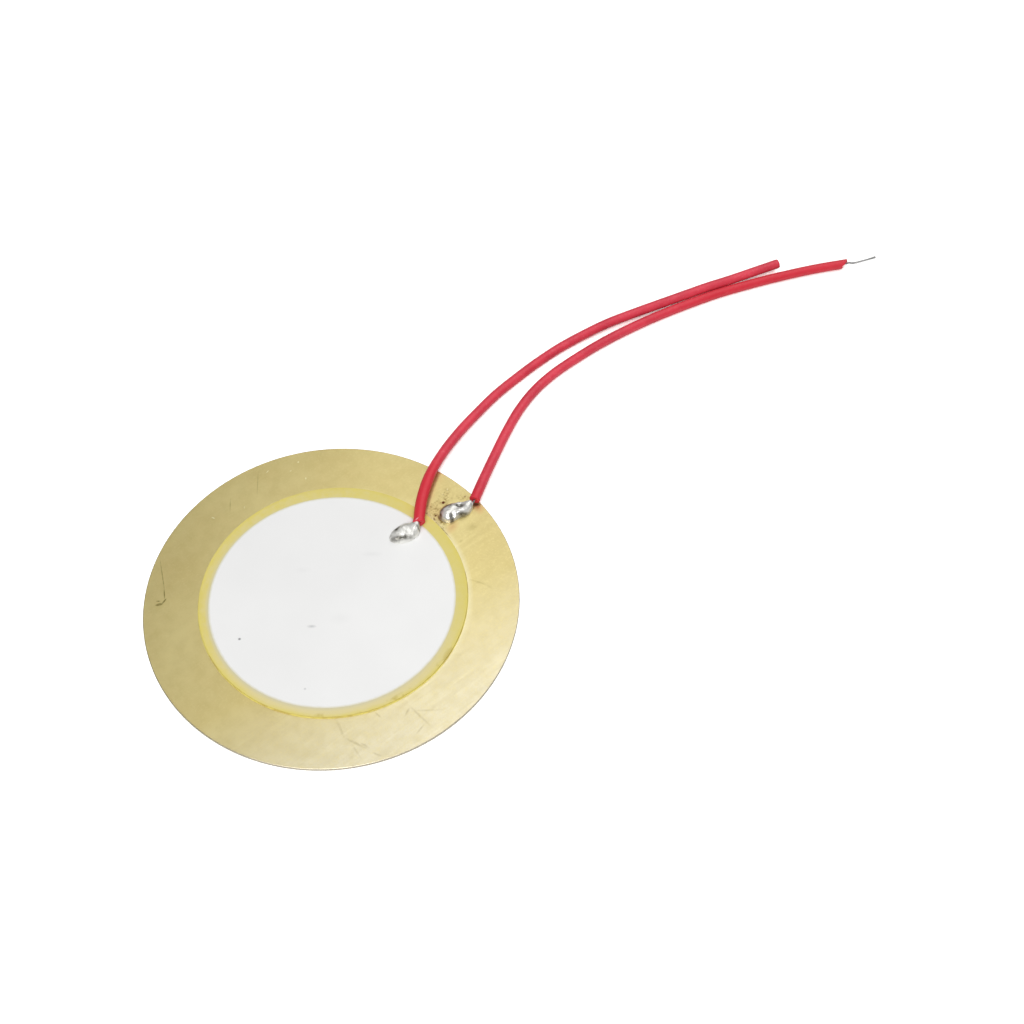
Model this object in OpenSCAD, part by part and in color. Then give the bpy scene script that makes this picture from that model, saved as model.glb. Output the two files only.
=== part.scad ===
// Piezo disc: a round brass plate carrying a thin silvered piezoceramic disc,
// with one red hook-up lead soldered to the silver and one to the brass.
//
// Millimetres. The origin is the centre of the plate's underside, +Z runs up
// through the ceramic, and +X points at the solder joint on the brass, on the
// side where both leads come away.

/* [Brass plate] */
// Diameter of the brass plate
plate_d = 35; // [33:0.5:41]
// Thickness of the brass sheet
plate_t = 0.3; // [0.2:0.05:0.5]
// Rounding that the blanking die leaves on the upper edge
plate_roll = 0.08; // [0.02:0.02:0.14]
// Edge broken on the underside when the burr is taken off
plate_break = 0.03; // [0.01:0.01:0.05]

/* [Glue] */
// Thickness of the epoxy film between brass and ceramic
glue_t = 0.02; // [0.01:0.01:0.06]
// Width of the epoxy squeezed out round the ceramic
glue_bead_w = 0.08; // [0.04:0.01:0.3]
// Share of the ceramic's edge that the epoxy bead climbs
glue_climb = 0.6; // [0.2:0.05:0.9]

/* [Ceramic] */
// Diameter of the ceramic disc
ceramic_d = 25; // [22:0.25:26.5]
// Thickness of the ceramic, without its silver
ceramic_t = 0.2; // [0.12:0.02:0.4]
// Distance along X that the ceramic was bonded off the plate's centre
ceramic_off_x = 0.1; // [-0.3:0.05:0.3]
// Distance along Y that the ceramic was bonded off the plate's centre
ceramic_off_y = -0.1; // [-0.3:0.05:0.3]

/* [Silver electrodes] */
// Bare ceramic left round the silver on the upper face
upper_margin = 1; // [0.5:0.1:2]
// Bare ceramic left round the silver on the lower face
lower_margin = 0.4; // [0.2:0.1:2]
// Thickness of each fired silver layer
silver_t = 0.01; // [0.01:0.01:0.03]
// Distance along X that the upper silver was printed off the ceramic's centre
print_off_x = -0.15; // [-0.25:0.05:0.25]
// Distance along Y that the upper silver was printed off the ceramic's centre
print_off_y = -0.05; // [-0.25:0.05:0.25]

/* [Solder on the silver] */
// Mean radius of the solder's footprint on the silver
silver_joint_r = 1.25; // [0.9:0.05:1.3]
// Height of the solder above the silver
silver_joint_h = 0.68; // [0.55:0.02:0.9]
// Distance along X from the edge of the silver in to the joint's centre
silver_joint_inset = 2.05; // [1.8:0.05:4]
// Distance along Y from the middle of the silver to the joint's centre
silver_joint_side = 1.2; // [-1.2:0.1:1.2]
// Bare strands between this solder and the insulation
silver_bare = 0.2; // [0.15:0.05:0.6]

/* [Solder on the brass] */
// Mean radius of the solder's footprint on the brass
brass_joint_r = 1.17; // [0.9:0.05:1.3]
// Height of the solder above the brass
brass_joint_h = 0.75; // [0.6:0.05:1]
// Distance along Y from the middle of the plate to the joint's centre
brass_joint_side = 0.1; // [-1:0.1:1]
// Bare strands between this solder and the insulation
brass_bare = 0.4; // [0.25:0.05:0.8]

/* [Leads] */
// Outside diameter of the red insulation
lead_d = 1; // [0.8:0.05:1.2]
// Diameter of the tinned strands inside it
core_d = 0.24; // [0.16:0.02:0.32]
// Height at which the insulation clears what it passes over
lead_gap = 0.02; // [0.01:0.01:0.1]

/* [Hidden] */

$fn = 96;

// Heights of the layers, from the underside of the plate up
glue_z = plate_t;
lower_silver_z = glue_z + glue_t;
ceramic_z = lower_silver_z + silver_t;
upper_silver_z = ceramic_z + ceramic_t;
stack_z = upper_silver_z + silver_t;

upper_silver_d = ceramic_d - 2 * upper_margin;
lower_silver_d = ceramic_d - 2 * lower_margin;
ceramic_at = [ceramic_off_x, ceramic_off_y];
upper_silver_at = ceramic_at + [print_off_x, print_off_y];

// Solder outlines are a circle of the mean radius, swollen by a few slow waves:
// each wave is its number of lobes, its share of the radius and its direction.
silver_joint_waves = [[1, 0.06, 70], [2, 0.26, -18], [3, 0.03, 60]];
brass_joint_waves = [[1, 0.12, 117], [2, 0.43, -13], [3, 0.09, -26]];

// The joints stand on the side where the leads come away: one near the edge of
// the silver, the other midway between the ceramic and the rim of the plate.
silver_joint_at = upper_silver_at + [upper_silver_d / 2 - silver_joint_inset, silver_joint_side];
brass_joint_at = [(plate_d + ceramic_d) / 4, brass_joint_side];

// Offset of each crown from the middle of its footprint
silver_joint_lean = [0.15, 0.1];
brass_joint_lean = [-0.1, 0.1];

// Solder levels, as shares of the height and of the footprint: a thin wetted
// skirt first, then a dome, which closes in the crown.
solder_sides = 28;
skirt = 0.08;
skirt_lift = 0.07;
solder_levels = concat(
    [[0, 1]],
    [for (a = [0:15:75]) [skirt_lift + (1 - skirt_lift) * sin(a), (1 - skirt) * cos(a)]]
);

// Where each lead's insulation begins: in this direction from its joint, past
// the solder's footprint and a short stretch of bare strands.
silver_exit_dir = 0;
brass_exit_dir = -7;
silver_exit = silver_joint_at
    + (joint_reach(silver_joint_r, silver_joint_waves, silver_exit_dir) + silver_bare)
    * [cos(silver_exit_dir), sin(silver_exit_dir)];
brass_exit = brass_joint_at
    + (joint_reach(brass_joint_r, brass_joint_waves, brass_exit_dir) + brass_bare)
    * [cos(brass_exit_dir), sin(brass_exit_dir)];

// Routes of the leads, from the joint to the free end. Each row is a place on
// the floor and a rise: 0 lies on the floor, 1 rides over the face at the joint.
// The silver lead sags to the floor beyond the rim, then leans on its partner.
silver_route = [
    [11.1, 1.1, 1], [13.1, 3.1, 1], [15.6, 4.95, 0.95], [18.3, 6.3, 0.7], [21.2, 7.35, 0.45],
    [24.2, 8.15, 0.25], [27.2, 8.8, 0.1], [30.2, 9.15, 0], [33.2, 9.35, 0], [36.2, 9.35, 0.05],
    [39.2, 9.05, 0.2], [42.2, 8.55, 0.4], [45.1, 7.8, 0.65], [48, 7, 0.85], [50.8, 6.2, 1],
    [53.6, 5.45, 1], [56.4, 4.55, 1], [59.2, 3.75, 0.95], [61.9, 2.95, 0.9]
];
brass_route = [
    [17, -0.1, 1], [19.5, 1.4, 0.9], [22.1, 2.9, 0.6], [24.8, 4.4, 0.3], [27.6, 5.75, 0.1],
    [30.5, 6.7, 0], [33.5, 7.15, 0], [36.5, 7.2, 0], [39.5, 7.1, 0], [42.5, 6.8, 0],
    [45.5, 6.3, 0], [48.4, 5.7, 0], [51.3, 5, 0], [54.2, 4.2, 0], [57.1, 3.2, 0],
    [59.9, 2.15, 0], [62.6, 1.05, 0], [65.2, -0.15, 0], [67.7, -1.45, 0]
];

// Strands inside each solder joint, from its middle out: a step across the pad
// from the joint's centre and a share of the solder's height.
silver_root = [[0.2, -0.1, 0.42], [1, -0.25, 0.55]];
brass_root = [[0.1, -0.1, 0.42], [1.25, -0.4, 0.55]];

// Strands left bare past the end of the brass lead, kinked as they were stripped:
// steps from the end of the insulation.
bare_tail = [[0.5, -0.2, 0.02], [0.9, -0.5, -0.06], [1.7, -0.8, -0.1], [3.4, -1.5, 0]];

lead_sides = 8;

// Distance from the centre of a solder footprint to its outline, at an angle
function joint_reach(r, waves, a) =
    r * (1 + sum([for (w = waves) w[1] * cos(w[0] * (a - w[2]))]));

function sum(list, i = 0) = i < len(list) ? list[i] + sum(list, i + 1) : 0;

function unit(v) = v / norm(v);

// Points of a lead's axis: its joint end follows the joint, its free end stays
function lead_axis(route, exit, face_z) =
    let (drift = exit - [route[0].x, route[0].y], last = len(route) - 1)
    [for (i = [0:last])
        let (p = [route[i].x, route[i].y] + drift * (1 - i / last))
        [p.x, p.y, lead_d / 2 + route[i].z * (face_z + lead_gap)]];

// Points of the strands' axis inside a solder joint
function root_axis(root, at, face_z, h) =
    [for (p = root) [at.x + p.x, at.y + p.y, face_z + p.z * h]];

function tail_axis(tail, end) = [for (p = tail) end + p];

// Ring of points round a path, square to its direction
function ring_round(path, i, r) =
    let (
        along = unit(path[min(i + 1, len(path) - 1)] - path[max(i - 1, 0)]),
        side = unit(cross(along, [0, 0, 1])),
        up = cross(side, along)
    )
    [for (k = [0:lead_sides - 1])
        let (a = k * 360 / lead_sides) path[i] + r * (cos(a) * side + sin(a) * up)];

// Triangles of the wall between successive rings, facing out or into a bore
function wall_faces(rings, sides, base, inward) =
    [for (i = [0:rings - 2], k = [0:sides - 1])
        let (
            a = base + i * sides + k,
            b = base + i * sides + (k + 1) % sides,
            c = b + sides,
            d = a + sides
        )
        each inward ? [[a, c, b], [a, d, c]] : [[a, b, c], [a, c, d]]];

// Flat ring that closes a bored tube at one end
function rim_faces(outer, inner, sides, at_end) =
    [for (k = [0:sides - 1])
        let (
            n = (k + 1) % sides,
            quad = [outer + k, inner + k, inner + n, outer + n]
        )
        at_end ? [quad[3], quad[2], quad[1], quad[0]] : quad];

// Tube along the points first to last of a path, bored right through if bore > 0
module tube(path, first, last, d, bore = 0) {
    rings = last - first + 1;
    count = rings * lead_sides;
    outer = [for (i = [first:last]) each ring_round(path, i, d / 2)];
    inner = bore > 0 ? [for (i = [first:last]) each ring_round(path, i, bore / 2)] : [];
    ends = bore > 0
        ? concat(
            rim_faces(0, count, lead_sides, false),
            rim_faces(count - lead_sides, 2 * count - lead_sides, lead_sides, true))
        : [
            [for (k = [lead_sides - 1:-1:0]) k],
            [for (k = [0:lead_sides - 1]) count - lead_sides + k]
        ];
    polyhedron(
        points = concat(outer, inner),
        faces = concat(
            wall_faces(rings, lead_sides, 0, false),
            bore > 0 ? wall_faces(rings, lead_sides, count, true) : [],
            ends
        ),
        convexity = 6
    );
}

// Solder wetted onto a flat face: its waved outline shrinks level by level to a
// crown that leans to one side
module solder(at, face_z, r, h, waves, lean) {
    levels = len(solder_levels);
    rings = [for (level = solder_levels, k = [0:solder_sides - 1])
        let (
            a = k * 360 / solder_sides,
            reach = level[1] * joint_reach(r, waves, a),
            drift = level[0] * lean
        )
        [at.x + drift.x + reach * cos(a), at.y + drift.y + reach * sin(a), face_z + level[0] * h]];
    crown = [at.x + lean.x, at.y + lean.y, face_z + h];
    top = (levels - 1) * solder_sides;
    polyhedron(
        points = concat(rings, [crown]),
        faces = concat(
            [[for (k = [0:solder_sides - 1]) k]],
            wall_faces(levels, solder_sides, 0, true),
            [for (k = [0:solder_sides - 1])
                [top + k, top + solder_sides, top + (k + 1) % solder_sides]]
        ),
        convexity = 4
    );
}

// Brass blank, punched from sheet: rounded over on top, a small broken edge below
module brass_plate() {
    r = plate_d / 2;
    color([0.80, 0.73, 0.50])
    rotate_extrude()
    polygon(concat(
        [[0, 0], [r - plate_break, 0], [r, plate_break]],
        [for (a = [0:15:90])
            [r - plate_roll * (1 - cos(a)), plate_t - plate_roll * (1 - sin(a))]],
        [[0, plate_t]]
    ));
}

// Epoxy film under the ceramic: it fills the step round the lower silver and
// stands out round the ceramic's edge in a hollow bead
module glue_bond() {
    edge = ceramic_d / 2;
    climb = glue_climb * ceramic_t;
    color([0.85, 0.78, 0.35])
    translate([ceramic_at.x, ceramic_at.y, 0])
    rotate_extrude()
    polygon(concat(
        [[0, glue_z], [edge + glue_bead_w, glue_z]],
        [for (a = [15:15:75])
            [edge + glue_bead_w * (1 - sin(a)), ceramic_z + climb - (ceramic_z + climb - glue_z) * cos(a)]],
        [
            [edge, ceramic_z + climb], [edge, ceramic_z], [lower_silver_d / 2, ceramic_z],
            [lower_silver_d / 2, lower_silver_z], [0, lower_silver_z]
        ]
    ));
}

module lower_silver() {
    color([0.86, 0.86, 0.85])
    translate([ceramic_at.x, ceramic_at.y, lower_silver_z])
    cylinder(h = silver_t, d = lower_silver_d);
}

module ceramic_disc() {
    color([0.86, 0.81, 0.55])
    translate([ceramic_at.x, ceramic_at.y, ceramic_z])
    cylinder(h = ceramic_t, d = ceramic_d);
}

module upper_silver() {
    color([0.94, 0.94, 0.93])
    translate([upper_silver_at.x, upper_silver_at.y, upper_silver_z])
    cylinder(h = silver_t, d = upper_silver_d);
}

// Strands of each lead, as one tinned bundle from inside the solder outwards
silver_core_axis = concat(
    root_axis(silver_root, silver_joint_at, stack_z, silver_joint_h),
    lead_axis(silver_route, silver_exit, stack_z)
);
brass_lead_axis = lead_axis(brass_route, brass_exit, plate_t);
brass_core_axis = concat(
    root_axis(brass_root, brass_joint_at, plate_t, brass_joint_h),
    brass_lead_axis,
    tail_axis(bare_tail, brass_lead_axis[len(brass_lead_axis) - 1])
);

module silver_lead_core() {
    color([0.75, 0.75, 0.76])
    tube(silver_core_axis, 0, len(silver_core_axis) - 1, core_d);
}

module brass_lead_core() {
    color([0.75, 0.75, 0.76])
    tube(brass_core_axis, 0, len(brass_core_axis) - 1, core_d);
}

// Insulation, bored for the strands and cut square at both ends
module silver_lead() {
    first = len(silver_root);
    color([0.85, 0.22, 0.28])
    tube(silver_core_axis, first, first + len(silver_route) - 1, lead_d, core_d);
}

module brass_lead() {
    first = len(brass_root);
    color([0.85, 0.22, 0.28])
    tube(brass_core_axis, first, first + len(brass_route) - 1, lead_d, core_d);
}

// Each joint is pocketed by the strands that it holds
module silver_joint() {
    color([0.78, 0.78, 0.78])
    difference() {
        solder(silver_joint_at, stack_z, silver_joint_r, silver_joint_h, silver_joint_waves,
            silver_joint_lean);
        silver_lead_core();
    }
}

module brass_joint() {
    color([0.78, 0.78, 0.78])
    difference() {
        solder(brass_joint_at, plate_t, brass_joint_r, brass_joint_h, brass_joint_waves,
            brass_joint_lean);
        brass_lead_core();
    }
}

brass_plate();
glue_bond();
lower_silver();
ceramic_disc();
upper_silver();
silver_joint();
brass_joint();
silver_lead_core();
silver_lead();
brass_lead_core();
brass_lead();
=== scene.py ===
import math
import bpy
import bmesh
from mathutils import Matrix, Vector


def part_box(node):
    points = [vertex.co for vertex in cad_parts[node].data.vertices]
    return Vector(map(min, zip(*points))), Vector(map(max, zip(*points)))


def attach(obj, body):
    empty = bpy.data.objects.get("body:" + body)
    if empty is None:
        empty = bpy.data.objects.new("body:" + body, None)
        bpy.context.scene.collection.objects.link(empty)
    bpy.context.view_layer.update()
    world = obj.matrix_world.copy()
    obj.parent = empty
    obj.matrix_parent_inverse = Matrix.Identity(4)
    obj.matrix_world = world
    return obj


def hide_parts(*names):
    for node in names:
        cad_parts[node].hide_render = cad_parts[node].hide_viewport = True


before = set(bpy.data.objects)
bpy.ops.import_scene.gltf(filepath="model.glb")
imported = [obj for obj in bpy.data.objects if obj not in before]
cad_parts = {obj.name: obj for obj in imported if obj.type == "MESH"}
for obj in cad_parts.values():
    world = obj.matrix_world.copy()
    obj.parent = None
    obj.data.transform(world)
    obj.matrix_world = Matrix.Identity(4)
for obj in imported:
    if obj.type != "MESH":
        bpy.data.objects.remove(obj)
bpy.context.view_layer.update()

print("solids loaded:", len(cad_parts))


camera = {
    "place": (-0.03689, -0.07007, 0.12551),
    "above": 55.16,        # degrees above the table
    "turn": -40.0,         # degrees round from +Y
    "lens": 55.42, "sensor": 36, "near": 0.005, "far": 20,
}

studio = {
    "tableColour": "#E6E6E4", "tableSize": 4, "tableDrop": 0.00001,
    "seenByCamera": 2.0,   # times brighter, so that it is white where nothing shades it
    "seenInGloss": 1.25,
    "world": 0.20,
    "overhead": {"at": (0.268, 0.071, 0.424), "aim": (0.0, 0.0, 0.0), "size": 0.506, "power": 1.045},
    "front": {"at": (-0.189, -0.180, 0.395), "aim": (0.02, 0.0, 0.0), "size": 0.312, "power": 1.70},
}


def hexColour(code):
    # sRGB hex to linear
    parts = [int(code[i:i + 2], 16) / 255 for i in (1, 3, 5)]
    return tuple(p / 12.92 if p <= 0.04045 else ((p + 0.055) / 1.055) ** 2.4 for p in parts) + (1.0,)


def plug(tree, node, sockets):
    # a value or a link for each socket named
    for name, value in sockets.items():
        if isinstance(value, bpy.types.NodeSocket):
            tree.links.new(value, node.inputs[name])
        else:
            node.inputs[name].default_value = value


def addNode(tree, kind, sockets=None, **settings):
    # a node with its settings and links
    node = tree.nodes.new(kind)
    for name, value in settings.items():
        setattr(node, name, value)
    plug(tree, node, sockets or {})
    return node


def deselectAll():
    if bpy.context.object and bpy.context.object.mode != "OBJECT":
        bpy.ops.object.mode_set(mode="OBJECT")
    bpy.ops.object.select_all(action="DESELECT")


def setUpCamera():
    data = bpy.data.cameras.new("viewCamera")
    data.lens, data.sensor_width = camera["lens"], camera["sensor"]
    data.clip_start, data.clip_end = camera["near"], camera["far"]
    view = bpy.data.objects.new("viewCamera", data)
    view.location = camera["place"]
    view.rotation_euler = (math.radians(90 - camera["above"]), 0, math.radians(camera["turn"]))
    bpy.context.collection.objects.link(view)
    bpy.context.scene.camera = view


def softbox(name, box):
    data = bpy.data.lights.new(name, "AREA")
    data.shape, data.size, data.energy = "SQUARE", box["size"], box["power"]
    lamp = bpy.data.objects.new(name, data)
    lamp.location = box["at"]
    lamp.rotation_euler = (Vector(box["at"]) - Vector(box["aim"])).to_track_quat("Z", "Y").to_euler()
    bpy.context.collection.objects.link(lamp)


def setUpStudio():
    # pale table: white to the camera and in reflections, with the object's own shadow kept
    deselectAll()
    bpy.ops.mesh.primitive_plane_add(size=studio["tableSize"], location=(0, 0, -studio["tableDrop"]))
    table = bpy.context.object
    table.name = "table"
    finish = bpy.data.materials.new("paleTable")
    finish.use_nodes = True
    tree = finish.node_tree
    tree.nodes.clear()
    seen = addNode(tree, "ShaderNodeLightPath")
    inGloss = addNode(tree, "ShaderNodeMath", {0: seen.outputs["Is Glossy Ray"],
                      1: seen.outputs["Is Transmission Ray"]}, operation="MAXIMUM")
    gloss, straight = studio["seenInGloss"] - 1, studio["seenByCamera"] - 1
    lift = addNode(tree, "ShaderNodeMath", {0: inGloss.outputs[0], 1: gloss, 2: 1.0},
                   operation="MULTIPLY_ADD")
    lift = addNode(tree, "ShaderNodeMath", {0: seen.outputs["Is Camera Ray"], 1: straight,
                   2: lift.outputs[0]}, operation="MULTIPLY_ADD")
    shade = addNode(tree, "ShaderNodeVectorMath", {0: hexColour(studio["tableColour"])[:3],
                    "Scale": lift.outputs[0]}, operation="SCALE")
    paper = addNode(tree, "ShaderNodeBsdfDiffuse", {"Color": shade.outputs[0]})
    addNode(tree, "ShaderNodeOutputMaterial", {"Surface": paper.outputs[0]})
    table.data.materials.append(finish)

    world = bpy.data.worlds.new("studioWorld")
    world.use_nodes = True
    plug(world.node_tree, world.node_tree.nodes["Background"],
         {"Color": (1, 1, 1, 1), "Strength": studio["world"]})
    bpy.context.scene.world = world
    softbox("overheadBox", studio["overhead"])
    softbox("frontBox", studio["front"])
    bpy.context.scene.view_settings.view_transform = "Standard"


setUpCamera()
setUpStudio()
print("camera and studio ready")


# Routes as places on the table, in metres, with a rise: 0 lies on the table and
# 1 rides just over the face at the joint. They are the solids' own routes; give is
# how far a point of one moves over and down where the two limp leads press together.
silverLead = {
    "route": [
        (0.0111, 0.0011, 1), (0.0131, 0.0031, 1), (0.0156, 0.00495, 0.95), (0.0183, 0.0063, 0.7),
        (0.0212, 0.00735, 0.45), (0.0242, 0.00815, 0.25), (0.0272, 0.0088, 0.1), (0.0302, 0.00915, 0),
        (0.0332, 0.00935, 0), (0.0362, 0.00935, 0.05), (0.0392, 0.00905, 0.2), (0.0422, 0.00855, 0.4),
        (0.0451, 0.0078, 0.65), (0.0480, 0.0070, 0.85), (0.0508, 0.0062, 1), (0.0536, 0.00545, 1),
        (0.0564, 0.00455, 1), (0.0592, 0.00375, 0.95), (0.0619, 0.00295, 0.9),
    ],
    "exit": (0.0111, 0.00105),
    "rise": 0.00055,
    "give": {12: (0, -0.00006), 13: (0, -0.00013), 14: (0, -0.00016), 15: (0, -0.00017),
             16: (0, -0.00015), 17: (0, -0.00012), 18: (0, -0.00006)},
    "startSlant": 16,      # degrees that the insulation's end leans from square
    "endSlant": -4,
    "endUnder": 0.0,       # how far the free end's cut faces down
    "swell": (1.13, 0.0080),    # how much wider the heat left it, and how far along
    "flare": 1.12,              # and the lip it spread
    "neck": 0.96,
    "length": 0.0539,
}
brassLead = {
    "route": [
        (0.0170, -0.0001, 1), (0.0195, 0.0014, 0.9), (0.0221, 0.0029, 0.6), (0.0248, 0.0044, 0.3),
        (0.0276, 0.00575, 0.1), (0.0305, 0.0067, 0), (0.0335, 0.00715, 0), (0.0365, 0.0072, 0),
        (0.0395, 0.0071, 0), (0.0425, 0.0068, 0), (0.0455, 0.0063, 0), (0.0484, 0.0057, 0),
        (0.0513, 0.0050, 0), (0.0542, 0.0042, 0), (0.0571, 0.0032, 0), (0.0599, 0.00215, 0),
        (0.0626, 0.00105, 0), (0.0652, -0.00015, 0), (0.0677, -0.00145, 0),
    ],
    "exit": (0.01703, -0.00015),
    "rise": 0.00032,
    "give": {10: (0.00004, 0), 11: (0.00006, 0), 12: (0.00006, 0), 13: (0.00006, 0), 14: (0.00005, 0),
             15: (0.00003, 0)},
    "startSlant": 4,
    "endSlant": -36,
    "endUnder": 0.35,
    "swell": (1.04, 0.0040),
    "flare": 1.04,
    "neck": 0.98,
    "length": 0.0539,
}
insulation = {
    "across": 0.0010, "bore": 0.00024, "sides": 28, "step": 0.0003,
    "spare": 0.0006,            # tube beyond each end, trimmed off
    "nearCut": 0.0025,          # as far as a cut reaches along the tube
    "nearLine": 0.0008,         # holds one ring of the tube, and nothing beside it
    "ringBand": 0.4,            # share of a step that one ring lies within
    "nearLip": 0.0012,
    "swellHeld": 0.6,           # share of the swelling's length that is full
    "lipReach": 0.0004,
    "neckAt": 0.0006, "neckBand": 0.00016, "neckReach": 0.0003,
    "rim": 0.00005, "rimAngle": 50, "smoothAngle": 40,
}
strands = {
    "count": 6, "across": 0.00007, "ring": 0.00007, "lay": 0.0032, "step": 0.00016, "sides": 6,
    "fray": 0.0012, "apart": 0.5, "uneven": 0.3,    # how far frayed wires part, give or take
    "smoothAngle": 50,
}

# strands inside each solder joint, from its middle out, and those left bare
silverRoot = [(0.0096, 0.00095, 0.00083), (0.0104, 0.0008, 0.00091)]
brassRoot = [(0.0151, 0.0, 0.00062), (0.01625, -0.0003, 0.00071)]
bareTail = [(0.0005, -0.0002, 0.00002), (0.0009, -0.0005, -0.00006), (0.0017, -0.0008, -0.0001),
            (0.00338, -0.0015, 0.0)]


def leadPoints(lead):
    # the start follows the joint's exit, and the free end stays
    route, last = lead["route"], len(lead["route"]) - 1
    driftX, driftY = lead["exit"][0] - route[0][0], lead["exit"][1] - route[0][1]
    radius = insulation["across"] / 2
    points = []
    for i, (x, y, up) in enumerate(route):
        over, down = lead["give"].get(i, (0, 0))
        points.append(Vector((x + driftX * (1 - i / last), y + driftY * (1 - i / last) + over,
                              radius + up * lead["rise"] + down)))
    return points


def smoothLine(points, step, lowest=None):
    # one smooth curve through the points, in even short steps
    ends = [points[0] * 2 - points[1]] + points + [points[-1] * 2 - points[-2]]
    line = []
    for a, b, c, d in zip(ends, ends[1:], ends[2:], ends[3:]):
        pieces = max(2, round((c - b).length / step))
        for k in range(pieces):
            t = k / pieces
            line.append(0.5 * ((2 * b) + (c - a) * t + (2 * a - 5 * b + 4 * c - d) * t * t
                               + (3 * b - a - 3 * c + d) * t ** 3))
    line.append(points[-1].copy())
    if lowest is not None:
        for p in line:
            p.z = max(p.z, lowest)
    return line


def tubeAlong(name, lines, across, sides):
    # a curve that draws round tubes along one or more lines
    curve = bpy.data.curves.new(name, "CURVE")
    curve.dimensions, curve.bevel_depth = "3D", across / 2
    curve.bevel_resolution = max(1, sides // 4 - 1)
    for line in lines:
        spline = curve.splines.new("POLY")
        spline.points.add(len(line) - 1)
        for point, place in zip(spline.points, line):
            point.co = (*place, 1)
    tube = bpy.data.objects.new(name, curve)
    bpy.context.collection.objects.link(tube)
    return tube


def toMesh(piece):
    # a curve becomes a mesh where it is, at the origin
    deselectAll()
    bpy.context.view_layer.objects.active = piece
    piece.select_set(True)
    bpy.ops.object.convert(target="MESH")
    return bpy.context.object


def trimEnd(piece, at, along, slant, under=0.0):
    # cuts an open tube across at a point, its cut leaning by slant degrees about the vertical
    away = Matrix.Rotation(math.radians(slant), 3, "Z") @ along - Vector((0, 0, under))
    bpy.ops.object.mode_set(mode="EDIT")
    shell = bmesh.from_edit_mesh(piece.data)
    for face in shell.faces:
        face.select_set(all((v.co - at).length < insulation["nearCut"] for v in face.verts))
    bmesh.update_edit_mesh(piece.data)
    bpy.ops.mesh.bisect(plane_co=at, plane_no=away, clear_outer=True, use_fill=False)
    bpy.ops.mesh.select_all(action="DESELECT")
    bpy.ops.object.mode_set(mode="OBJECT")


def swellStart(tube, line, most, reach):
    # widens the rings near the joint sideways, most at the end and less along
    bpy.ops.object.mode_set(mode="EDIT")
    shell = bmesh.from_edit_mesh(tube.data)
    walked, held = 0.0, insulation["swellHeld"]
    for before, here in zip(line, line[1:]):
        walked += (here - before).length
        if walked > reach:
            break
        along = (here - before).normalized()
        for v in shell.verts:
            out = v.co - here
            v.select_set(abs(out.dot(along)) < insulation["step"] * insulation["ringBand"]
                         and out.length < insulation["nearLine"])
        shell.select_flush_mode()
        bmesh.update_edit_mesh(tube.data)
        share = 1 - max(0.0, (walked / reach - held) / (1 - held))
        wider = 1 + (most - 1) * share * share * (3 - 2 * share)
        bpy.ops.transform.resize(value=(wider, wider, 1), center_override=here)
    bpy.ops.mesh.select_all(action="DESELECT")
    bpy.ops.object.mode_set(mode="OBJECT")


def makeInsulation(name, lead):
    line = smoothLine(leadPoints(lead), insulation["step"], insulation["across"] / 2)
    # the tube starts a little long at both ends, and the cuts trim it
    spare = insulation["spare"]
    first, last = (line[0] - line[1]).normalized(), (line[-1] - line[-2]).normalized()
    longLine = [line[0] + first * spare] + line + [line[-1] + last * spare]
    tube = toMesh(tubeAlong(name, [longLine], insulation["across"], insulation["sides"]))
    swellStart(tube, longLine, *lead["swell"])
    trimEnd(tube, line[0], first, lead["startSlant"])
    trimEnd(tube, line[-1], last, lead["endSlant"], lead["endUnder"])

    # lip at the joint end, spread by the heat of the iron
    bpy.ops.object.mode_set(mode="EDIT")
    shell = bmesh.from_edit_mesh(tube.data)
    shell.select_mode = {"VERT"}
    for v in shell.verts:
        v.select_set(v.is_boundary and (v.co - line[0]).length < insulation["nearLip"])
    shell.select_flush_mode()
    bmesh.update_edit_mesh(tube.data)
    bpy.ops.transform.resize(value=(lead["flare"], lead["flare"], 1), center_override=line[0],
                             use_proportional_edit=True, proportional_edit_falloff="SMOOTH",
                             proportional_size=insulation["lipReach"])
    # and the neck behind it, drawn in
    neck = line[0] + (line[2] - line[0]).normalized() * insulation["neckAt"]
    for v in shell.verts:
        out = v.co - neck
        v.select_set(abs(out.dot(first)) < insulation["neckBand"] and out.length < insulation["nearLine"])
    shell.select_flush_mode()
    bmesh.update_edit_mesh(tube.data)
    bpy.ops.transform.resize(value=(lead["neck"],) * 3, center_override=neck,
                             use_proportional_edit=True, proportional_edit_falloff="SMOOTH",
                             proportional_size=insulation["neckReach"])
    bpy.ops.object.mode_set(mode="OBJECT")

    wall = tube.modifiers.new("wall", "SOLIDIFY")
    wall.thickness, wall.offset = (insulation["across"] - insulation["bore"]) / 2, -1
    bpy.ops.object.modifier_apply(modifier="wall")
    rim = tube.modifiers.new("cutRim", "BEVEL")
    rim.width, rim.segments = insulation["rim"], 2
    rim.limit_method, rim.angle_limit = "ANGLE", math.radians(insulation["rimAngle"])
    bpy.ops.object.modifier_apply(modifier="cutRim")
    bpy.ops.object.shade_smooth_by_angle(angle=math.radians(insulation["smoothAngle"]))
    return tube, line


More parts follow.
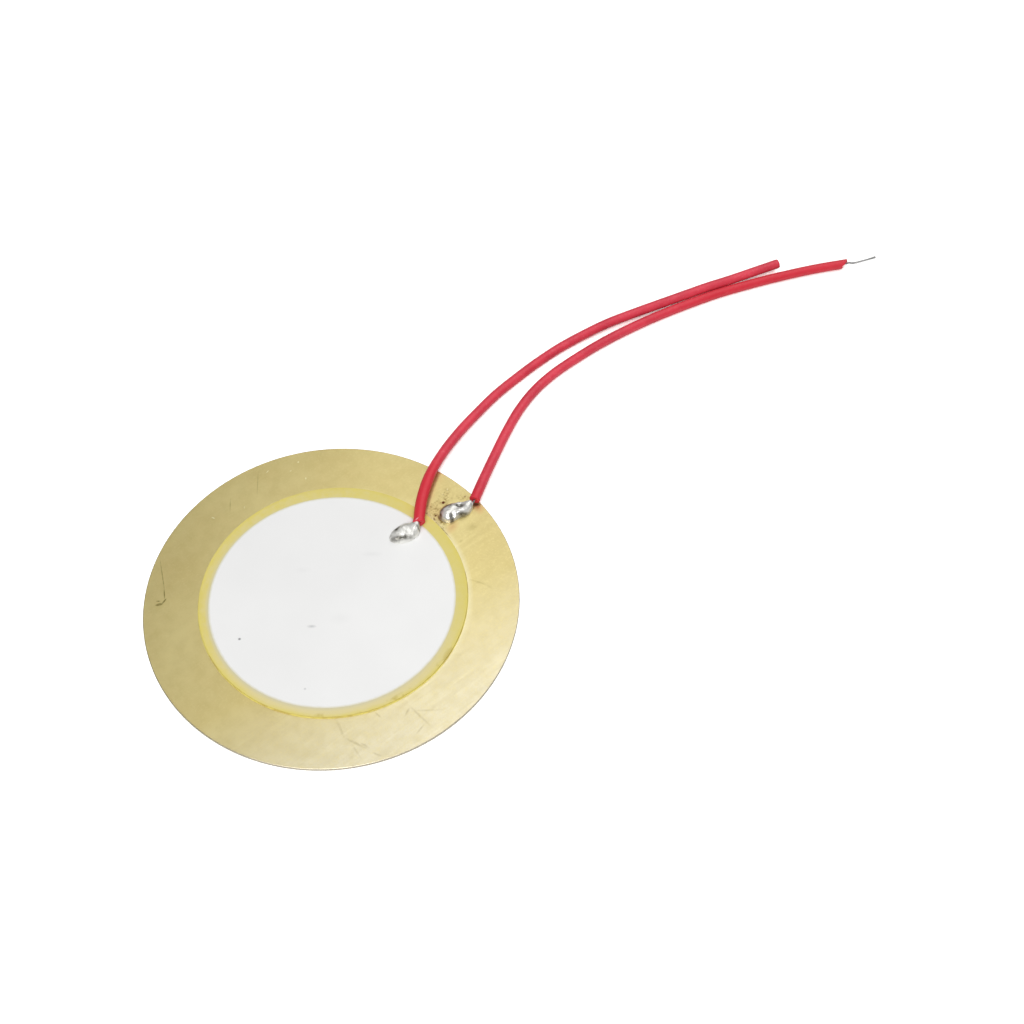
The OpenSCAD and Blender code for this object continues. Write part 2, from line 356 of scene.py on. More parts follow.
def makeStrands(name, line, fray=0.0):
    # fine wires laid round a straight one; over the last of the line, fray long, they come apart
    upright = Vector((0, 0, 1))
    walked, frames = 0.0, []
    for i, p in enumerate(line):
        along = (line[min(i + 1, len(line) - 1)] - line[max(i - 1, 0)]).normalized()
        side = along.cross(upright).normalized()
        if i:
            walked += (p - line[i - 1]).length
        frames.append((p, side, side.cross(along), walked))
    wires = [[f[0] for f in frames]]
    for w in range(strands["count"]):
        wire = []
        for p, side, up, far in frames:
            turn = 2 * math.pi * (w / strands["count"] + far / strands["lay"])
            reach, bare = strands["ring"], far - walked + fray
            if fray and bare > 0:
                parted = strands["apart"] + strands["uneven"] * math.sin(5 * w)
                reach *= 1 + parted * (bare / fray) ** 2
            wire.append(p + reach * (math.cos(turn) * side + math.sin(turn) * up))
        wires.append(wire)
    bundle = tubeAlong(name, wires, strands["across"], strands["sides"])
    bundle.data.use_fill_caps = True
    bundle = toMesh(bundle)
    bpy.ops.object.shade_smooth_by_angle(angle=math.radians(strands["smoothAngle"]))
    return bundle


silverInsulation, silverLine = makeInsulation("silverLeadInsulation", silverLead)
brassInsulation, brassLine = makeInsulation("brassLeadInsulation", brassLead)

silverWireLine = smoothLine([Vector(p) for p in silverRoot] + leadPoints(silverLead), strands["step"],
                            insulation["across"] / 2)
silverStrands = makeStrands("silverLeadStrands", silverWireLine)
tailEnd = leadPoints(brassLead)[-1]
brassWireLine = smoothLine([Vector(p) for p in brassRoot] + leadPoints(brassLead)
                           + [tailEnd + Vector(p) for p in bareTail], strands["step"])
brassStrands = makeStrands("brassLeadStrands", brassWireLine, strands["fray"])

for piece, line, lead, node, wires in (
    (silverInsulation, silverLine, silverLead, "silver_lead", silverStrands),
    (brassInsulation, brassLine, brassLead, "brass_lead", brassStrands),
):
    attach(piece, "root")
    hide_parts(node)
    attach(wires, "root")
    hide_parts(node + "_core")
print("leads made")


solderMesh = {
    "sole": -0.0001,        # started below the face, and cut off there once it is wrinkled
    "startRadius": 0.001, "levels": 3, "cutWithin": 1e-6, "smoothAngle": 70,
}

# Each footprint is a dozen places round the wetted edge, in metres. Levels are
# a rise from the face and the share of the footprint that is left there.
silverSolder = {
    "node": "silver_joint",
    "face": "upper_silver",
    "footprint": [
        (0.01118, 0.00098), (0.01095, 0.00152), (0.0104, 0.00196), (0.0098, 0.00222), (0.0089, 0.00222),
        (0.0082, 0.00206), (0.0078, 0.00152), (0.0080, 0.0009), (0.0086, 0.00042), (0.0094, 0.0001),
        (0.0103, 0.0), (0.0110, 0.00045),
    ],
    "crown": (0.0097, 0.0012),
    "levels": [(0.00004, 0.95), (0.00024, 0.92), (0.00044, 0.84), (0.00058, 0.66), (0.00066, 0.38)],
    # where the frozen metal is drawn over, up or down, by how much and how far that spreads
    "pulls": [
        ((0.0106, 0.00100), (0.00040, 0.00004, 0.00030), 0.0008),
        ((0.0091, 0.00190), (0.0, 0.0, -0.00016), 0.0005),
        ((0.0090, 0.00080), (0.0, 0.0, -0.00014), 0.0004),
        ((0.0088, 0.00045), (0.0, 0.0, 0.00010), 0.0005),
        ((0.0098, 0.00160), (0.0, 0.0, 0.00006), 0.0006),
    ],
    "wrinkle": (0.00035, 0.00010),
}
brassSolder = {
    "node": "brass_joint",
    "face": "brass_plate",
    "footprint": [
        (0.0168, -0.00015), (0.0164, 0.00040), (0.0155, 0.00092), (0.0147, 0.00128), (0.0137, 0.00124),
        (0.01326, 0.00072), (0.0132, 0.00018), (0.0135, -0.00045), (0.0142, -0.00062), (0.0149, -0.00056),
        (0.0157, -0.00095), (0.0165, -0.00075),
    ],
    "crown": (0.0147, 0.00025),
    "levels": [(0.00004, 0.96), (0.00026, 0.95), (0.00050, 0.88), (0.00066, 0.70), (0.00075, 0.40)],
    "pulls": [
        ((0.0139, 0.00030), (0.0, 0.0, 0.00012), 0.0005),
        ((0.0142, -0.00030), (0.0, 0.0, -0.00020), 0.0004),
        ((0.0155, 0.00020), (0.0, 0.0, -0.00014), 0.0005),
        ((0.0150, -0.00035), (0.0, 0.0, 0.00008), 0.0005),
        ((0.0162, -0.00030), (0.00034, 0.00008, 0.00026), 0.0008),
    ],
    "wrinkle": (0.0006, 0.00005),
}


def pull(piece, place, move, spread):
    # moves the highest point near a place, and what is near follows it
    bpy.ops.mesh.select_all(action="DESELECT")
    shell = bmesh.from_edit_mesh(piece.data)
    top = min(shell.verts, key=lambda v: (v.co.xy - Vector(place)).length - v.co.z)
    top.select_set(True)
    bmesh.update_edit_mesh(piece.data)
    bpy.ops.transform.translate(value=move, use_proportional_edit=True,
                                proportional_edit_falloff="SMOOTH", proportional_size=spread)


def makeSolder(name, joint):
    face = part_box(joint["face"])[1].z
    sole = solderMesh["sole"]
    middle = Vector(joint["crown"])
    deselectAll()
    bpy.ops.mesh.primitive_circle_add(vertices=len(joint["footprint"]), fill_type="NGON",
                                      radius=solderMesh["startRadius"],
                                      location=(*middle, face + sole))
    solder = bpy.context.object
    solder.name = name
    bpy.ops.object.transform_apply(location=True, rotation=True, scale=True)
    bpy.ops.object.mode_set(mode="EDIT")

    # the circle's corners go to the footprint, in the same order round
    places = sorted((Vector(p) for p in joint["footprint"]),
                    key=lambda p: math.atan2(p.y - middle.y, p.x - middle.x))
    order = [v.index for v in sorted(bmesh.from_edit_mesh(solder.data).verts,
                                     key=lambda v: math.atan2(v.co.y - middle.y, v.co.x - middle.x))]
    for i, place in zip(order, places):
        bpy.ops.mesh.select_all(action="DESELECT")
        shell = bmesh.from_edit_mesh(solder.data)
        shell.verts.ensure_lookup_table()
        shell.verts[i].select_set(True)
        step = place - shell.verts[i].co.xy
        bmesh.update_edit_mesh(solder.data)
        bpy.ops.transform.translate(value=(step.x, step.y, 0))

    # raised level by level towards the crown
    bpy.ops.mesh.select_all(action="SELECT")
    rise, share = sole, 1.0
    for height, keep in joint["levels"]:
        bpy.ops.mesh.extrude_region_move(TRANSFORM_OT_translate={"value": (0, 0, height - rise)})
        bpy.ops.transform.resize(value=(keep / share, keep / share, 1), center_override=(*middle, 0))
        rise, share = height, keep
    bpy.ops.mesh.poke()
    bpy.ops.object.mode_set(mode="OBJECT")
    fine = solder.modifiers.new("rounded", "SUBSURF")
    fine.levels = fine.render_levels = solderMesh["levels"]
    bpy.ops.object.modifier_apply(modifier="rounded")

    bpy.ops.object.mode_set(mode="EDIT")
    for place, move, spread in joint["pulls"]:
        pull(solder, place, move, spread)
    bpy.ops.object.mode_set(mode="OBJECT")

    size, depth = joint["wrinkle"]
    lumps = bpy.data.textures.new(name + "Lumps", "CLOUDS")
    lumps.noise_scale, lumps.noise_depth = size, 2
    ripple = solder.modifiers.new("frozenRipple", "DISPLACE")
    ripple.texture, ripple.texture_coords = lumps, "LOCAL"
    ripple.strength, ripple.mid_level = depth, 0.5
    bpy.ops.object.modifier_apply(modifier="frozenRipple")

    # flat underneath, on its face
    bpy.ops.object.mode_set(mode="EDIT")
    bpy.ops.mesh.select_all(action="SELECT")
    bpy.ops.mesh.bisect(plane_co=(0, 0, face), plane_no=(0, 0, 1), clear_inner=True, use_fill=True,
                        threshold=solderMesh["cutWithin"])
    bpy.ops.mesh.select_all(action="SELECT")
    bpy.ops.mesh.normals_make_consistent(inside=False)
    bpy.ops.object.mode_set(mode="OBJECT")
    bpy.ops.object.shade_smooth_by_angle(angle=math.radians(solderMesh["smoothAngle"]))
    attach(solder, "root")
    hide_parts(joint["node"])
    return solder


silverBlob = makeSolder("silverSolderJoint", silverSolder)
brassBlob = makeSolder("brassSolderJoint", brassSolder)
print("solder joints made")


def newFinish(name):
    finish = bpy.data.materials.new(name)
    finish.use_nodes = True
    tree = finish.node_tree
    place = addNode(tree, "ShaderNodeTexCoord")
    inMillimetres = addNode(tree, "ShaderNodeMapping", {"Vector": place.outputs["Object"],
                            "Scale": (1000, 1000, 1000)}, label="millimetres")
    return finish, tree, tree.nodes["Principled BSDF"], inMillimetres.outputs[0]


# The finishes' patterns are in mm. Spots: how many to a mm, the noise where they
# start and are full, how finely they break up, and the most and least they lay.
# Fades across: a direction in degrees, where it starts and ends, and the same two.
# Strokes: x, y, direction in degrees, length, width and strength.
def speckle(tree, where, spots):
    scale, start, full, detail, most, least = spots
    noise = addNode(tree, "ShaderNodeTexNoise", {"Vector": where, "Scale": scale, "Detail": detail,
                    "Roughness": 0.6})
    return addNode(tree, "ShaderNodeMapRange", {"Value": noise.outputs["Fac"], "From Min": start,
                   "From Max": full, "To Min": least, "To Max": most}).outputs[0]


def fadeAcross(tree, where, fade):
    degrees, start, end, most, least = fade
    way = (math.cos(math.radians(degrees)), math.sin(math.radians(degrees)), 0)
    along = addNode(tree, "ShaderNodeVectorMath", {0: where, 1: way}, operation="DOT_PRODUCT")
    return addNode(tree, "ShaderNodeMapRange", {"Value": along.outputs["Value"], "From Min": start,
                   "From Max": end, "To Min": least, "To Max": most}).outputs[0]


def fadeOut(tree, where, centre, ring, most=1.0, waver=None):
    # grows between two distances from an upright axis, on a wavering line if asked
    flat = addNode(tree, "ShaderNodeMapping", {"Vector": where, "Scale": (1, 1, 0),
                   "Location": (-centre[0], -centre[1], 0)})
    out = addNode(tree, "ShaderNodeVectorMath", {0: flat.outputs[0]}, operation="LENGTH").outputs["Value"]
    if waver:
        scale, reach = waver
        noise = addNode(tree, "ShaderNodeTexNoise", {"Vector": where, "Scale": scale, "Detail": 3})
        out = addNode(tree, "ShaderNodeMath", {0: noise.outputs["Fac"], 1: reach, 2: out},
                      operation="MULTIPLY_ADD").outputs[0]
    return addNode(tree, "ShaderNodeMapRange", {"Value": out, "From Min": ring[0], "From Max": ring[1],
                   "To Max": most}).outputs[0]


def marks(tree, where, strokes):
    tall = 50       # so that a stroke goes right through its piece
    total = None
    for x, y, turn, long, wide, strength in strokes:
        laid = addNode(tree, "ShaderNodeMapping", {"Vector": where, "Location": (x, y, 0),
                       "Rotation": (0, 0, math.radians(turn)), "Scale": (long / 2, wide / 2, tall)},
                       vector_type="TEXTURE")
        stroke = addNode(tree, "ShaderNodeTexGradient", {"Vector": laid.outputs[0]},
                         gradient_type="SPHERICAL")
        sized = addNode(tree, "ShaderNodeMath", {0: stroke.outputs["Fac"], 1: strength},
                        operation="MULTIPLY", use_clamp=True)
        total = sized.outputs[0] if total is None else addNode(
            tree, "ShaderNodeMath", {0: total, 1: sized.outputs[0]}, operation="MAXIMUM").outputs[0]
    return total


def together(tree, shares):
    # where all of several shares meet
    total = shares[0]
    for share in shares[1:]:
        total = addNode(tree, "ShaderNodeMath", {0: total, 1: share}, operation="MULTIPLY",
                        use_clamp=True).outputs[0]
    return total


def coated(tree, ground, coats):
    # colours laid over a ground one by one, each by its share
    tone = hexColour(ground)
    for share, colour in coats:
        tone = addNode(tree, "ShaderNodeMix", {0: share, 6: tone, 7: hexColour(colour)},
                       data_type="RGBA").outputs[2]
    return tone


# Yellow brass sheet, rolled, blanked and handled since: a satin metal whose
# tarnish mottles it, paler on one side with a painted sheen, scored, and specked with flux.
brassSheet = {
    "light": "#EBDC9D", "deep": "#E1CF8F", "khaki": "#CDBC7B", "paintedSheen": "#EBE2C2", "dull": "#D0BF84",
    "edge": "#BCB4A5", "nick": "#FBF2C4", "scratch": "#96864C", "smear": "#F0E7BD",
    "flux": "#997E49", "wash": "#D3AE78", "scorch": "#7E4E3A",
    "roughness": 0.38, "lineRoughness": (-0.05, 0.06), "burntRougher": 0.4,
    "clouds": (0.12, 0.35, 0.65, 3, 1.0, 0.0),          # tarnish, 8 mm
    "mottle": (0.9, 0.38, 0.72, 4, 0.28, 0.0),          # 1 mm
    "pits": (4.5, 0.5, 0.7, 2, 0.35, 0.0),              # 0.2 mm
    "breaks": (3, 0.3, 0.6, 2, 1.0, 0.45),              # where a scratch is worn away, 0.3 mm
    "fluxSpots": (3.6, 0.5, 0.64, 5, 0.8, 0.0),         # 0.3 mm
    "fluxFilm": (1.3, 0.42, 0.68, 4, 0.45, 0.0),        # 0.8 mm
    "dullSide": (-25, 7, 17, 0.7, 0.0),
    # painted sheen: paler and whiter towards 262 degrees
    "paintedSheenSide": (262, 5.5, 15.5, 0.95, 0.0),
    "smearAt": (0.1, -0.1), "smearRing": (13.1, 12.5), "smearSide": (-45, 4, 11, 0.8, 0.0),
    "shearedRing": (17.42, 17.48),
    "hairlines": (0.25, 8, 1), "hairlineSeed": -50,     # 0.1 mm apart, drawn out along X
    "lineNoise": {"From Min": 0.3, "From Max": 0.7},
    "dents": 0.35, "relief": {"Strength": 0.06, "Distance": 0.0001},    # 3 mm
    # a hooked score on one side, then short ones across the rest
    "scratches": [
        (-10.8, 12.2, 64, 4.6, 0.12, 1.1), (-11.75, 10.4, 60, 1.4, 0.14, 1.6),
        (-12.2, 9.75, 20, 0.8, 0.2, 2.2), (-12.75, 9.75, -24, 0.8, 0.34, 2.2),
        (-12.6, 10.1, -40, 0.5, 0.16, 1.2), (2.2, 15.3, 53, 3.6, 0.14, 0.45),
        (-1.3, 14.9, 54, 1.8, 0.16, 0.5), (-7.5, -11.5, 75, 3.0, 0.34, 0.28),
        (-7.3, -13.4, 112, 2.8, 0.36, 0.45), (-6.8, -14.1, 106, 1.3, 0.34, 0.3),
        (-7.7, -14.1, 83, 2.4, 0.3, 0.25), (-6.5, -15.5, 117, 1.1, 0.28, 0.45),
        (-1.3, -14.9, 94, 3.4, 0.32, 0.4), (-0.5, -14.9, 142, 3.2, 0.28, 0.32),
        (-1.9, -13.9, 26, 1.2, 0.28, 0.42), (-2.1, -16.0, 14, 1.4, 0.26, 0.4),
        (-4.1, -12.5, 97, 1.0, 0.26, 0.4), (11.6, -7.5, 119, 2.8, 0.28, 0.35),
        (12.0, -8.3, 100, 1.6, 0.5, 0.2), (15.1, -2.2, 170, 1.5, 1.0, 0.3),
        (13.2, -2.8, 170, 0.6, 0.5, 0.3), (12.72, -0.8, 88, 2.7, 0.16, 1.2),
    ],
    "nicks": [
        (6.8, 14.9, 40, 0.3, 0.2, 1.6), (6.2, 12.8, 60, 0.35, 0.18, 1.6),
        (3.8, 15.9, 20, 0.5, 0.14, 1.3), (-3.4, 14.7, 110, 0.45, 0.16, 2.0),
        (5.6, 14.5, 0, 0.3, 0.14, 1.2), (-0.4, 13.8, 50, 0.4, 0.12, 1.0),
        (16.0, 2.8, 50, 0.5, 0.14, 0.9), (15.3, 2.6, 60, 0.4, 0.12, 0.8),
    ],
    # flux spat round the joint, its browned edge, and the burnt bead under the lead
    "spatter": [(13.3, 1.8, 30, 2.6, 2.0, 1.8), (12.9, 0.1, 80, 2.4, 1.1, 2.0),
                (14.8, 2.0, 0, 2.6, 1.4, 1.5), (16.6, 1.1, 130, 1.5, 0.9, 1.4),
                (15.4, 2.3, 40, 2.4, 1.6, 1.0)],
    "stain": [(13.6, -0.95, 20, 2.2, 1.3, 0.8), (17.05, -1.05, 50, 1.5, 1.1, 0.8),
              (13.6, 1.2, 30, 3.6, 3.0, 0.4)],
    "burnt": [(17.02, -0.40, -30, 1.0, 0.55, 1.6), (14.73, 1.84, 10, 0.40, 0.34, 2.6),
              (14.3, 1.32, 10, 1.5, 0.34, 1.0), (13.3, 0.72, 68, 1.1, 0.30, 0.9),
              (13.2, 1.1, 0, 0.36, 0.28, 1.3), (12.85, 0.9, 60, 0.5, 0.22, 0.9),
              (16.8, 1.05, 0, 0.3, 0.26, 0.8)],
}


def brassFinish():
    finish, tree, shader, where = newFinish("rolledBrassSheet")
    sheet = brassSheet
    spatter = marks(tree, where, sheet["spatter"])
    burnt = marks(tree, where, sheet["burnt"])
    smear = together(tree, [fadeOut(tree, where, sheet["smearAt"], sheet["smearRing"]),
                            fadeAcross(tree, where, sheet["smearSide"])])
    scratched = together(tree, [marks(tree, where, sheet["scratches"]),
                                speckle(tree, where, sheet["breaks"])])
    tone = coated(tree, sheet["deep"], [
        (speckle(tree, where, sheet["clouds"]), sheet["light"]),
        (fadeAcross(tree, where, sheet["dullSide"]), sheet["dull"]),
        # painted sheen, paler and whiter towards 262 degrees
        (fadeAcross(tree, where, sheet["paintedSheenSide"]), sheet["paintedSheen"]),
        (speckle(tree, where, sheet["mottle"]), sheet["khaki"]),
        (speckle(tree, where, sheet["pits"]), sheet["light"]),
        (smear, sheet["smear"]),
        (scratched, sheet["scratch"]),
        (marks(tree, where, sheet["nicks"]), sheet["nick"]),
        (marks(tree, where, sheet["stain"]), sheet["wash"]),
        (together(tree, [speckle(tree, where, sheet["fluxSpots"]), spatter]), sheet["flux"]),
        (together(tree, [speckle(tree, where, sheet["fluxFilm"]), spatter]), sheet["flux"]),
        (burnt, sheet["scorch"]),
        (fadeOut(tree, where, (0, 0), sheet["shearedRing"]), sheet["edge"]),
    ])

    # hairlines of the rolling run along X; turning their noise only picks other ones
    drawn = addNode(tree, "ShaderNodeMapping", {"Vector": where, "Scale": sheet["hairlines"],
                    "Rotation": (0, 0, math.radians(sheet["hairlineSeed"]))})
    lines = addNode(tree, "ShaderNodeTexNoise", {"Vector": drawn.outputs[0], "Scale": 1.0, "Detail": 3})
    smooth, coarse = (sheet["roughness"] + more for more in sheet["lineRoughness"])
    rough = addNode(tree, "ShaderNodeMapRange", {"Value": lines.outputs["Fac"], "To Min": smooth,
                    "To Max": coarse, **sheet["lineNoise"]})
    rough = addNode(tree, "ShaderNodeMath", {0: burnt, 1: sheet["burntRougher"], 2: rough.outputs[0]},
                    operation="MULTIPLY_ADD")
    dents = addNode(tree, "ShaderNodeTexNoise", {"Vector": where, "Scale": sheet["dents"], "Detail": 2})
    height = addNode(tree, "ShaderNodeMath", {0: dents.outputs["Fac"], 1: lines.outputs["Fac"]},
                     operation="ADD")
    bump = addNode(tree, "ShaderNodeBump", {"Height": height.outputs[0], **sheet["relief"]})
    plug(tree, shader, {"Metallic": 1.0, "Base Color": tone, "Roughness": rough.outputs[0],
                        "Normal": bump.outputs[0]})
    return finish


# Fired silver paste, screen printed: a matt, near white metal with a fine tooth,
# thin enough at its edge for the ceramic to show through.
firedSilver = {
    "white": "#F4F4F3", "grey": "#F0F0EF", "speck": "#77777A", "thin": "#D9D3B4",
    "metallic": 0.25, "roughness": 0.58,
    "at": (-0.05, -0.15), "thinRing": (11.34, 11.56), "thinMost": 0.85,
    "waver": (2.5, 0.12),                               # its edge wavers every 0.4 mm
    "clouds": (0.1, 0.3, 0.7, 2, 1.0, 0.0),             # 10 mm
    "tooth": 7, "relief": {"Strength": 0.1, "Distance": 0.00003},       # the screen's mesh, 0.15 mm
    "specks": [
        (-9.17, 1.74, -40, 0.36, 0.32, 1.2), (-3.32, -1.41, -40, 1.0, 0.42, 0.4),
        (-7.59, -6.3, 0, 0.3, 0.3, 0.4), (5.73, 1.38, -40, 2.4, 0.7, 0.06),
        (-0.37, 4.14, -40, 1.8, 0.8, 0.04), (-0.8, -2.4, -40, 2.5, 1.5, 0.04),
    ],
}


def silverFinish():
    finish, tree, shader, where = newFinish("firedSilverPaste")
    paste = firedSilver
    thin = fadeOut(tree, where, paste["at"], paste["thinRing"], paste["thinMost"], paste["waver"])
    tone = coated(tree, paste["grey"], [
        (speckle(tree, where, paste["clouds"]), paste["white"]),
        (thin, paste["thin"]),
        (marks(tree, where, paste["specks"]), paste["speck"]),
    ])
    tooth = addNode(tree, "ShaderNodeTexNoise", {"Vector": where, "Scale": paste["tooth"], "Detail": 2})
    bump = addNode(tree, "ShaderNodeBump", {"Height": tooth.outputs["Fac"], **paste["relief"]})
    plug(tree, shader, {"Metallic": paste["metallic"], "Roughness": paste["roughness"],
                        "Base Color": tone, "Normal": bump.outputs[0]})
    return finish


# Lead zirconate titanate, pressed and sintered: matt, cream and slightly waxy,
# greyer where the silver's print thins out and by painted shade there, yellowed at its rim, and with
# painted shade along the rim's near side.
sinteredCeramic = {
    "cream": "#DACC86", "warm": "#D9CA72", "pale": "#DDD09E", "lime": "#DACB6C", "grey": "#CFC8A8",
    "rim": "#DBCB62", "rimShade": "#C4B262", "roughness": 0.5,
    "grain": (1.5, 0.35, 0.65, 4, 1.0, 0.0),            # 0.7 mm clouds
    "paleSide": (240, 2, 12, 0.8, 0.0), "limeSide": (-10, 5, 13, 0.65, 0.0),
    # grey beside the silver's edge: the print thinning out, with painted shade strongest towards 200
    # degrees
    "printEdgeShadeRing": (11.85, 11.5), "printEdgeShadeSide": (200, -8, 8, 0.9, 0.1),
    "at": (0.1, -0.1), "rimRing": (12.35, 12.75), "rimMost": 0.75,
    "waver": (0.8, 0.5),                                # the yellowed rim and its painted shade waver every 1.2 mm
    # painted shade along the disc's outer edge, strongest towards 245 degrees and broken up by noise
    "rimShadeRing": (12.25, 12.6), "rimShadeSide": (245, 4, 10, 0.9, 0.15),
    "rimShadeBreaks": (0.45, 0.52, 0.6, 3, 1.0, 0.0),       # 2 mm
}


def ceramicFinish():
    finish, tree, shader, where = newFinish("sinteredPiezoceramic")
    disc = sinteredCeramic
    # grey beside the silver's edge: the thinning print, and painted shade strongest towards 200 degrees
    grey = together(tree, [fadeOut(tree, where, firedSilver["at"], disc["printEdgeShadeRing"]),
                           fadeAcross(tree, where, disc["printEdgeShadeSide"])])
    # painted shade along the rim's near side, broken up by noise
    rimShade = together(tree, [fadeOut(tree, where, disc["at"], disc["rimShadeRing"], 1.0, disc["waver"]),
                             speckle(tree, where, disc["rimShadeBreaks"]),
                             fadeAcross(tree, where, disc["rimShadeSide"])])
    tone = coated(tree, disc["warm"], [
        (speckle(tree, where, disc["grain"]), disc["cream"]),
        (fadeAcross(tree, where, disc["paleSide"]), disc["pale"]),
        (fadeAcross(tree, where, disc["limeSide"]), disc["lime"]),
        (grey, disc["grey"]),
        (fadeOut(tree, where, disc["at"], disc["rimRing"], disc["rimMost"], disc["waver"]), disc["rim"]),
        (rimShade, disc["rimShade"]),
    ])
    plug(tree, shader, {"Base Color": tone, "Roughness": disc["roughness"]})
    return finish


# Two-part epoxy, squeezed out and cured: a yellow resin, browner where it lies thick.
curedEpoxy = {
    "yellow": "#E8DA78", "thick": "#D0BC66", "roughness": 0.5,
    "runs": (0.5, 0.46, 0.58, 3, 1.0, 0.0),             # 2 mm
}


def epoxyFinish():
    finish, tree, shader, where = newFinish("curedEpoxy")
    tone = coated(tree, curedEpoxy["yellow"], [
        (speckle(tree, where, curedEpoxy["runs"]), curedEpoxy["thick"]),
    ])
    plug(tree, shader, {"Base Color": tone, "Roughness": curedEpoxy["roughness"]})
    return finish


# Tin-lead solder, frozen from the melt: bright metal with duller ripples, under
# a thin film of resin, with painted shade and painted dark reflection in its creases.
frozenSolder = {
    # crease is the colour of painted shade and dark reflection in the creases
    "bright": "#F1F0EB", "dull": "#CFCEC6", "creaseShade": "#68655C", "flux": "#7B6148",
    "ripple": {"Scale": 1.6, "Detail": 4, "Distortion": 0.8},           # 0.6 mm
    "dulled": {"From Min": 0.45, "From Max": 0.62},
    "breaks": (3, 0.3, 0.6, 3, 1.0, 0.5),               # 0.3 mm
    "relief": {"Strength": 0.5, "Distance": 0.0001},
}
silverSkinOfSolder = {
    "name": "dullFrozenSolder", "metallic": 0.45, "roughness": 0.32, "dullShare": 0.7,
    # where the painted crease shade lies
    "shadedCreases": [
        (8.75, 0.85, -32, 2.9, 0.62, 1.6), (9.1, 1.92, 18, 1.5, 0.66, 1.3),
        (10.73, 0.55, 90, 1.1, 0.3, 1.3), (8.2, 1.85, 30, 0.8, 0.6, 0.7),
        (10.0, 1.45, 0, 1.4, 0.9, 0.25), (10.6, 1.3, 100, 0.8, 0.16, 0.8),
    ],
    "fluxed": [(11.05, 0.85, 60, 0.9, 0.34, 0.9), (11.1, 1.35, 110, 0.5, 0.2, 0.6)],
}
brassSkinOfSolder = {
    "name": "brightFrozenSolder", "metallic": 0.5, "roughness": 0.2, "dullShare": 0.5,
    # where the painted crease shade lies
    "shadedCreases": [
        (15.45, 0.2, -45, 1.3, 0.6, 2.0), (14.07, -0.33, 50, 1.2, 0.55, 2.0),
        (15.2, -0.66, -25, 1.6, 0.3, 1.4), (14.6, 0.6, 30, 1.0, 0.4, 1.0),
        (13.8, 0.85, 45, 1.0, 0.5, 1.1), (16.35, -0.5, 60, 0.8, 0.24, 0.8),
    ],
    "fluxed": [
        (14.6, 1.0, -6, 2.4, 0.6, 1.3), (13.45, 0.6, 70, 1.0, 0.36, 1.2),
        (13.4, -0.2, 100, 0.8, 0.2, 0.6),
    ],
}


def solderFinish(skin):
    finish, tree, shader, where = newFinish(skin["name"])
    melt = frozenSolder
    ripple = addNode(tree, "ShaderNodeTexNoise", {"Vector": where, **melt["ripple"]}).outputs["Fac"]
    dulled = addNode(tree, "ShaderNodeMapRange", {"Value": ripple, "To Max": skin["dullShare"],
                     **melt["dulled"]})
    # painted shade and dark reflection along the creases, broken up by noise
    creaseShading = together(tree, [marks(tree, where, skin["shadedCreases"]), speckle(tree, where, melt["breaks"])])
    tone = coated(tree, melt["bright"], [
        (dulled.outputs[0], melt["dull"]),
        (creaseShading, melt["creaseShade"]),
        (marks(tree, where, skin["fluxed"]), melt["flux"]),
    ])
    bump = addNode(tree, "ShaderNodeBump", {"Height": ripple, **melt["relief"]})
    plug(tree, shader, {"Metallic": skin["metallic"], "Roughness": skin["roughness"],
                        "Base Color": tone, "Normal": bump.outputs[0]})
    return finish


# Soft PVC insulation, extruded: satin red with a waxy bloom and a little dust,
# deeper red over the plate and towards the brass lead's free end, with a painted highlight on the lip at
# the joint.
redPvc = {
    # gloss is the colour of a painted highlight on the insulation's end
    "red": "#E24355", "deep": "#D0394B", "dust": "#E9808A", "deeperRed": "#D52735", "gloss": "#F4B4BC",
    "roughness": 0.4, "ior": 1.53, "specular": 0.35,
    "clouds": (0.4, 0.35, 0.65, 3, 1.0, 0.0),           # 2.5 mm
    "dustSpots": (3.5, 0.55, 0.7, 3, 0.22, 0.0),        # 0.3 mm
    "deeperRedRing": (19.0, 16.5), "deeperRedMost": 0.75,     # from the middle of the plate
    "farEndRing": (43.0, 53.0), "farEndMost": 0.65,
    # painted highlight on the top of the insulation's end at the joint
    "lipHighlight": [(11.12, 1.28, 5, 0.55, 0.16, 1.1)],
    "skin": 3, "relief": {"Strength": 0.15, "Distance": 0.00005},       # 0.3 mm
}


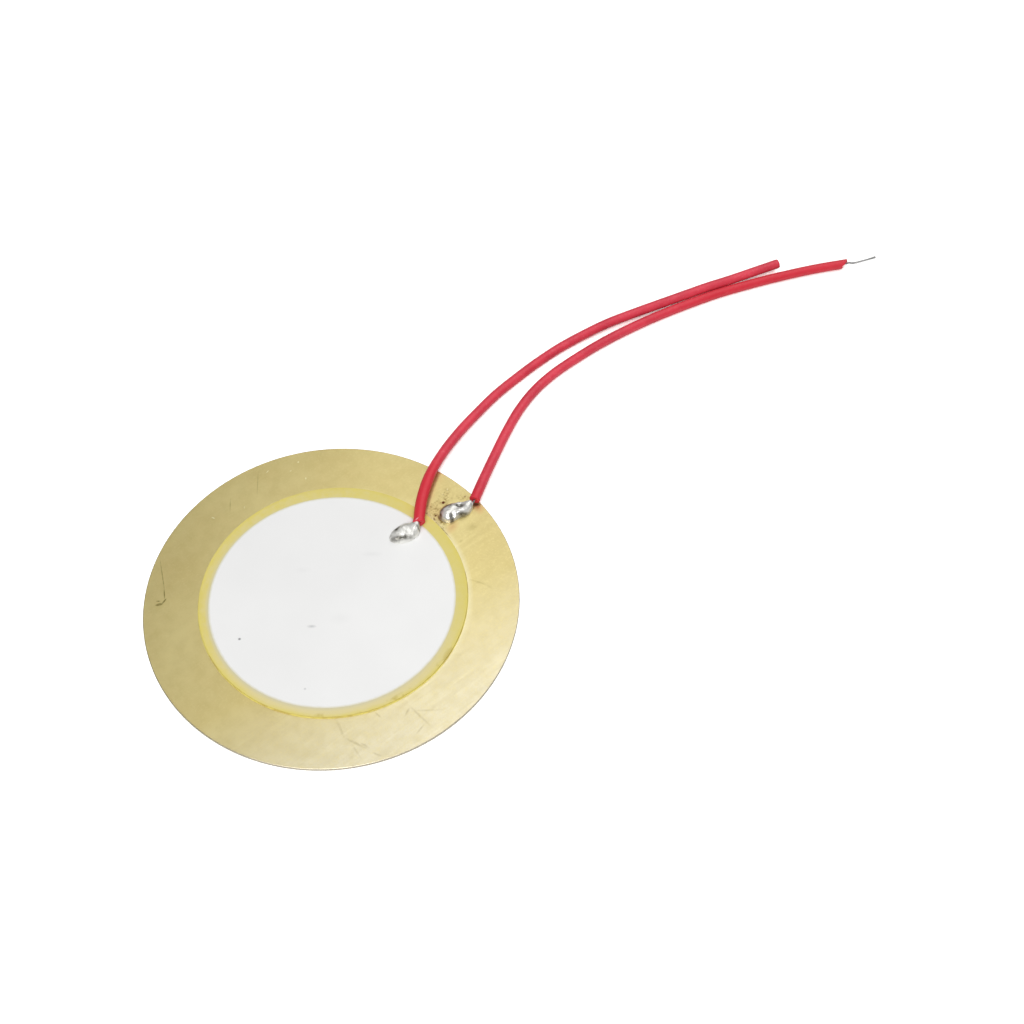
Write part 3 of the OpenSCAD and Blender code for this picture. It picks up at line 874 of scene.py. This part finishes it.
def pvcFinish(name, deeperFarEnd):
    finish, tree, shader, where = newFinish(name)
    # deeper red within 16.5 to 19 mm of the plate's middle
    deeperRed = fadeOut(tree, where, (0, 0), redPvc["deeperRedRing"], redPvc["deeperRedMost"])
    coats = [
        (speckle(tree, where, redPvc["clouds"]), redPvc["red"]),
        (speckle(tree, where, redPvc["dustSpots"]), redPvc["dust"]),
        (deeperRed, redPvc["deeperRed"]),
        # painted highlight on the insulation's end at the joint
        (marks(tree, where, redPvc["lipHighlight"]), redPvc["gloss"]),
    ]
    if deeperFarEnd:
        # deeper red towards the free end, from 43 to 53 mm out
        held = fadeOut(tree, where, (0, 0), redPvc["farEndRing"], redPvc["farEndMost"])
        coats.append((held, redPvc["deeperRed"]))
    tone = coated(tree, redPvc["deep"], coats)
    skin = addNode(tree, "ShaderNodeTexNoise", {"Vector": where, "Scale": redPvc["skin"], "Detail": 2})
    bump = addNode(tree, "ShaderNodeBump", {"Height": skin.outputs["Fac"], **redPvc["relief"]})
    plug(tree, shader, {"Base Color": tone, "Normal": bump.outputs[0], "Roughness": redPvc["roughness"],
                        "IOR": redPvc["ior"], "Specular IOR Level": redPvc["specular"]})
    return finish


# Tinned copper strands, drawn and twisted: grey, half bright.
tinnedCopper = {
    "tin": "#DCDCDB", "dull": "#ACACAD", "roughness": 0.4,
    "stains": (3, 0.3, 0.7, 2, 1.0, 0.0),               # 0.3 mm
}


def tinFinish():
    finish, tree, shader, where = newFinish("tinnedCopperStrands")
    tone = coated(tree, tinnedCopper["tin"], [
        (speckle(tree, where, tinnedCopper["stains"]), tinnedCopper["dull"]),
    ])
    plug(tree, shader, {"Base Color": tone, "Metallic": 1.0, "Roughness": tinnedCopper["roughness"]})
    return finish


def dress(piece, finish):
    # a piece keeps its mesh and takes one finish
    if not piece.material_slots:
        piece.data.materials.append(finish)
    for slot in piece.material_slots:
        slot.link = "OBJECT"
        slot.material = finish


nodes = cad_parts
silverSkin = silverFinish()
tinSkin = tinFinish()
dress(nodes["brass_plate"], brassFinish())
dress(nodes["glue_bond"], epoxyFinish())
dress(nodes["lower_silver"], silverSkin)
dress(nodes["ceramic_disc"], ceramicFinish())
dress(nodes["upper_silver"], silverSkin)
dress(silverInsulation, pvcFinish("extrudedRedPvc", False))
dress(brassInsulation, pvcFinish("farEndRedPvc", True))
for piece in (silverStrands, brassStrands):
    dress(piece, tinSkin)
dress(silverBlob, solderFinish(silverSkinOfSolder))
dress(brassBlob, solderFinish(brassSkinOfSolder))
print("finishes on")
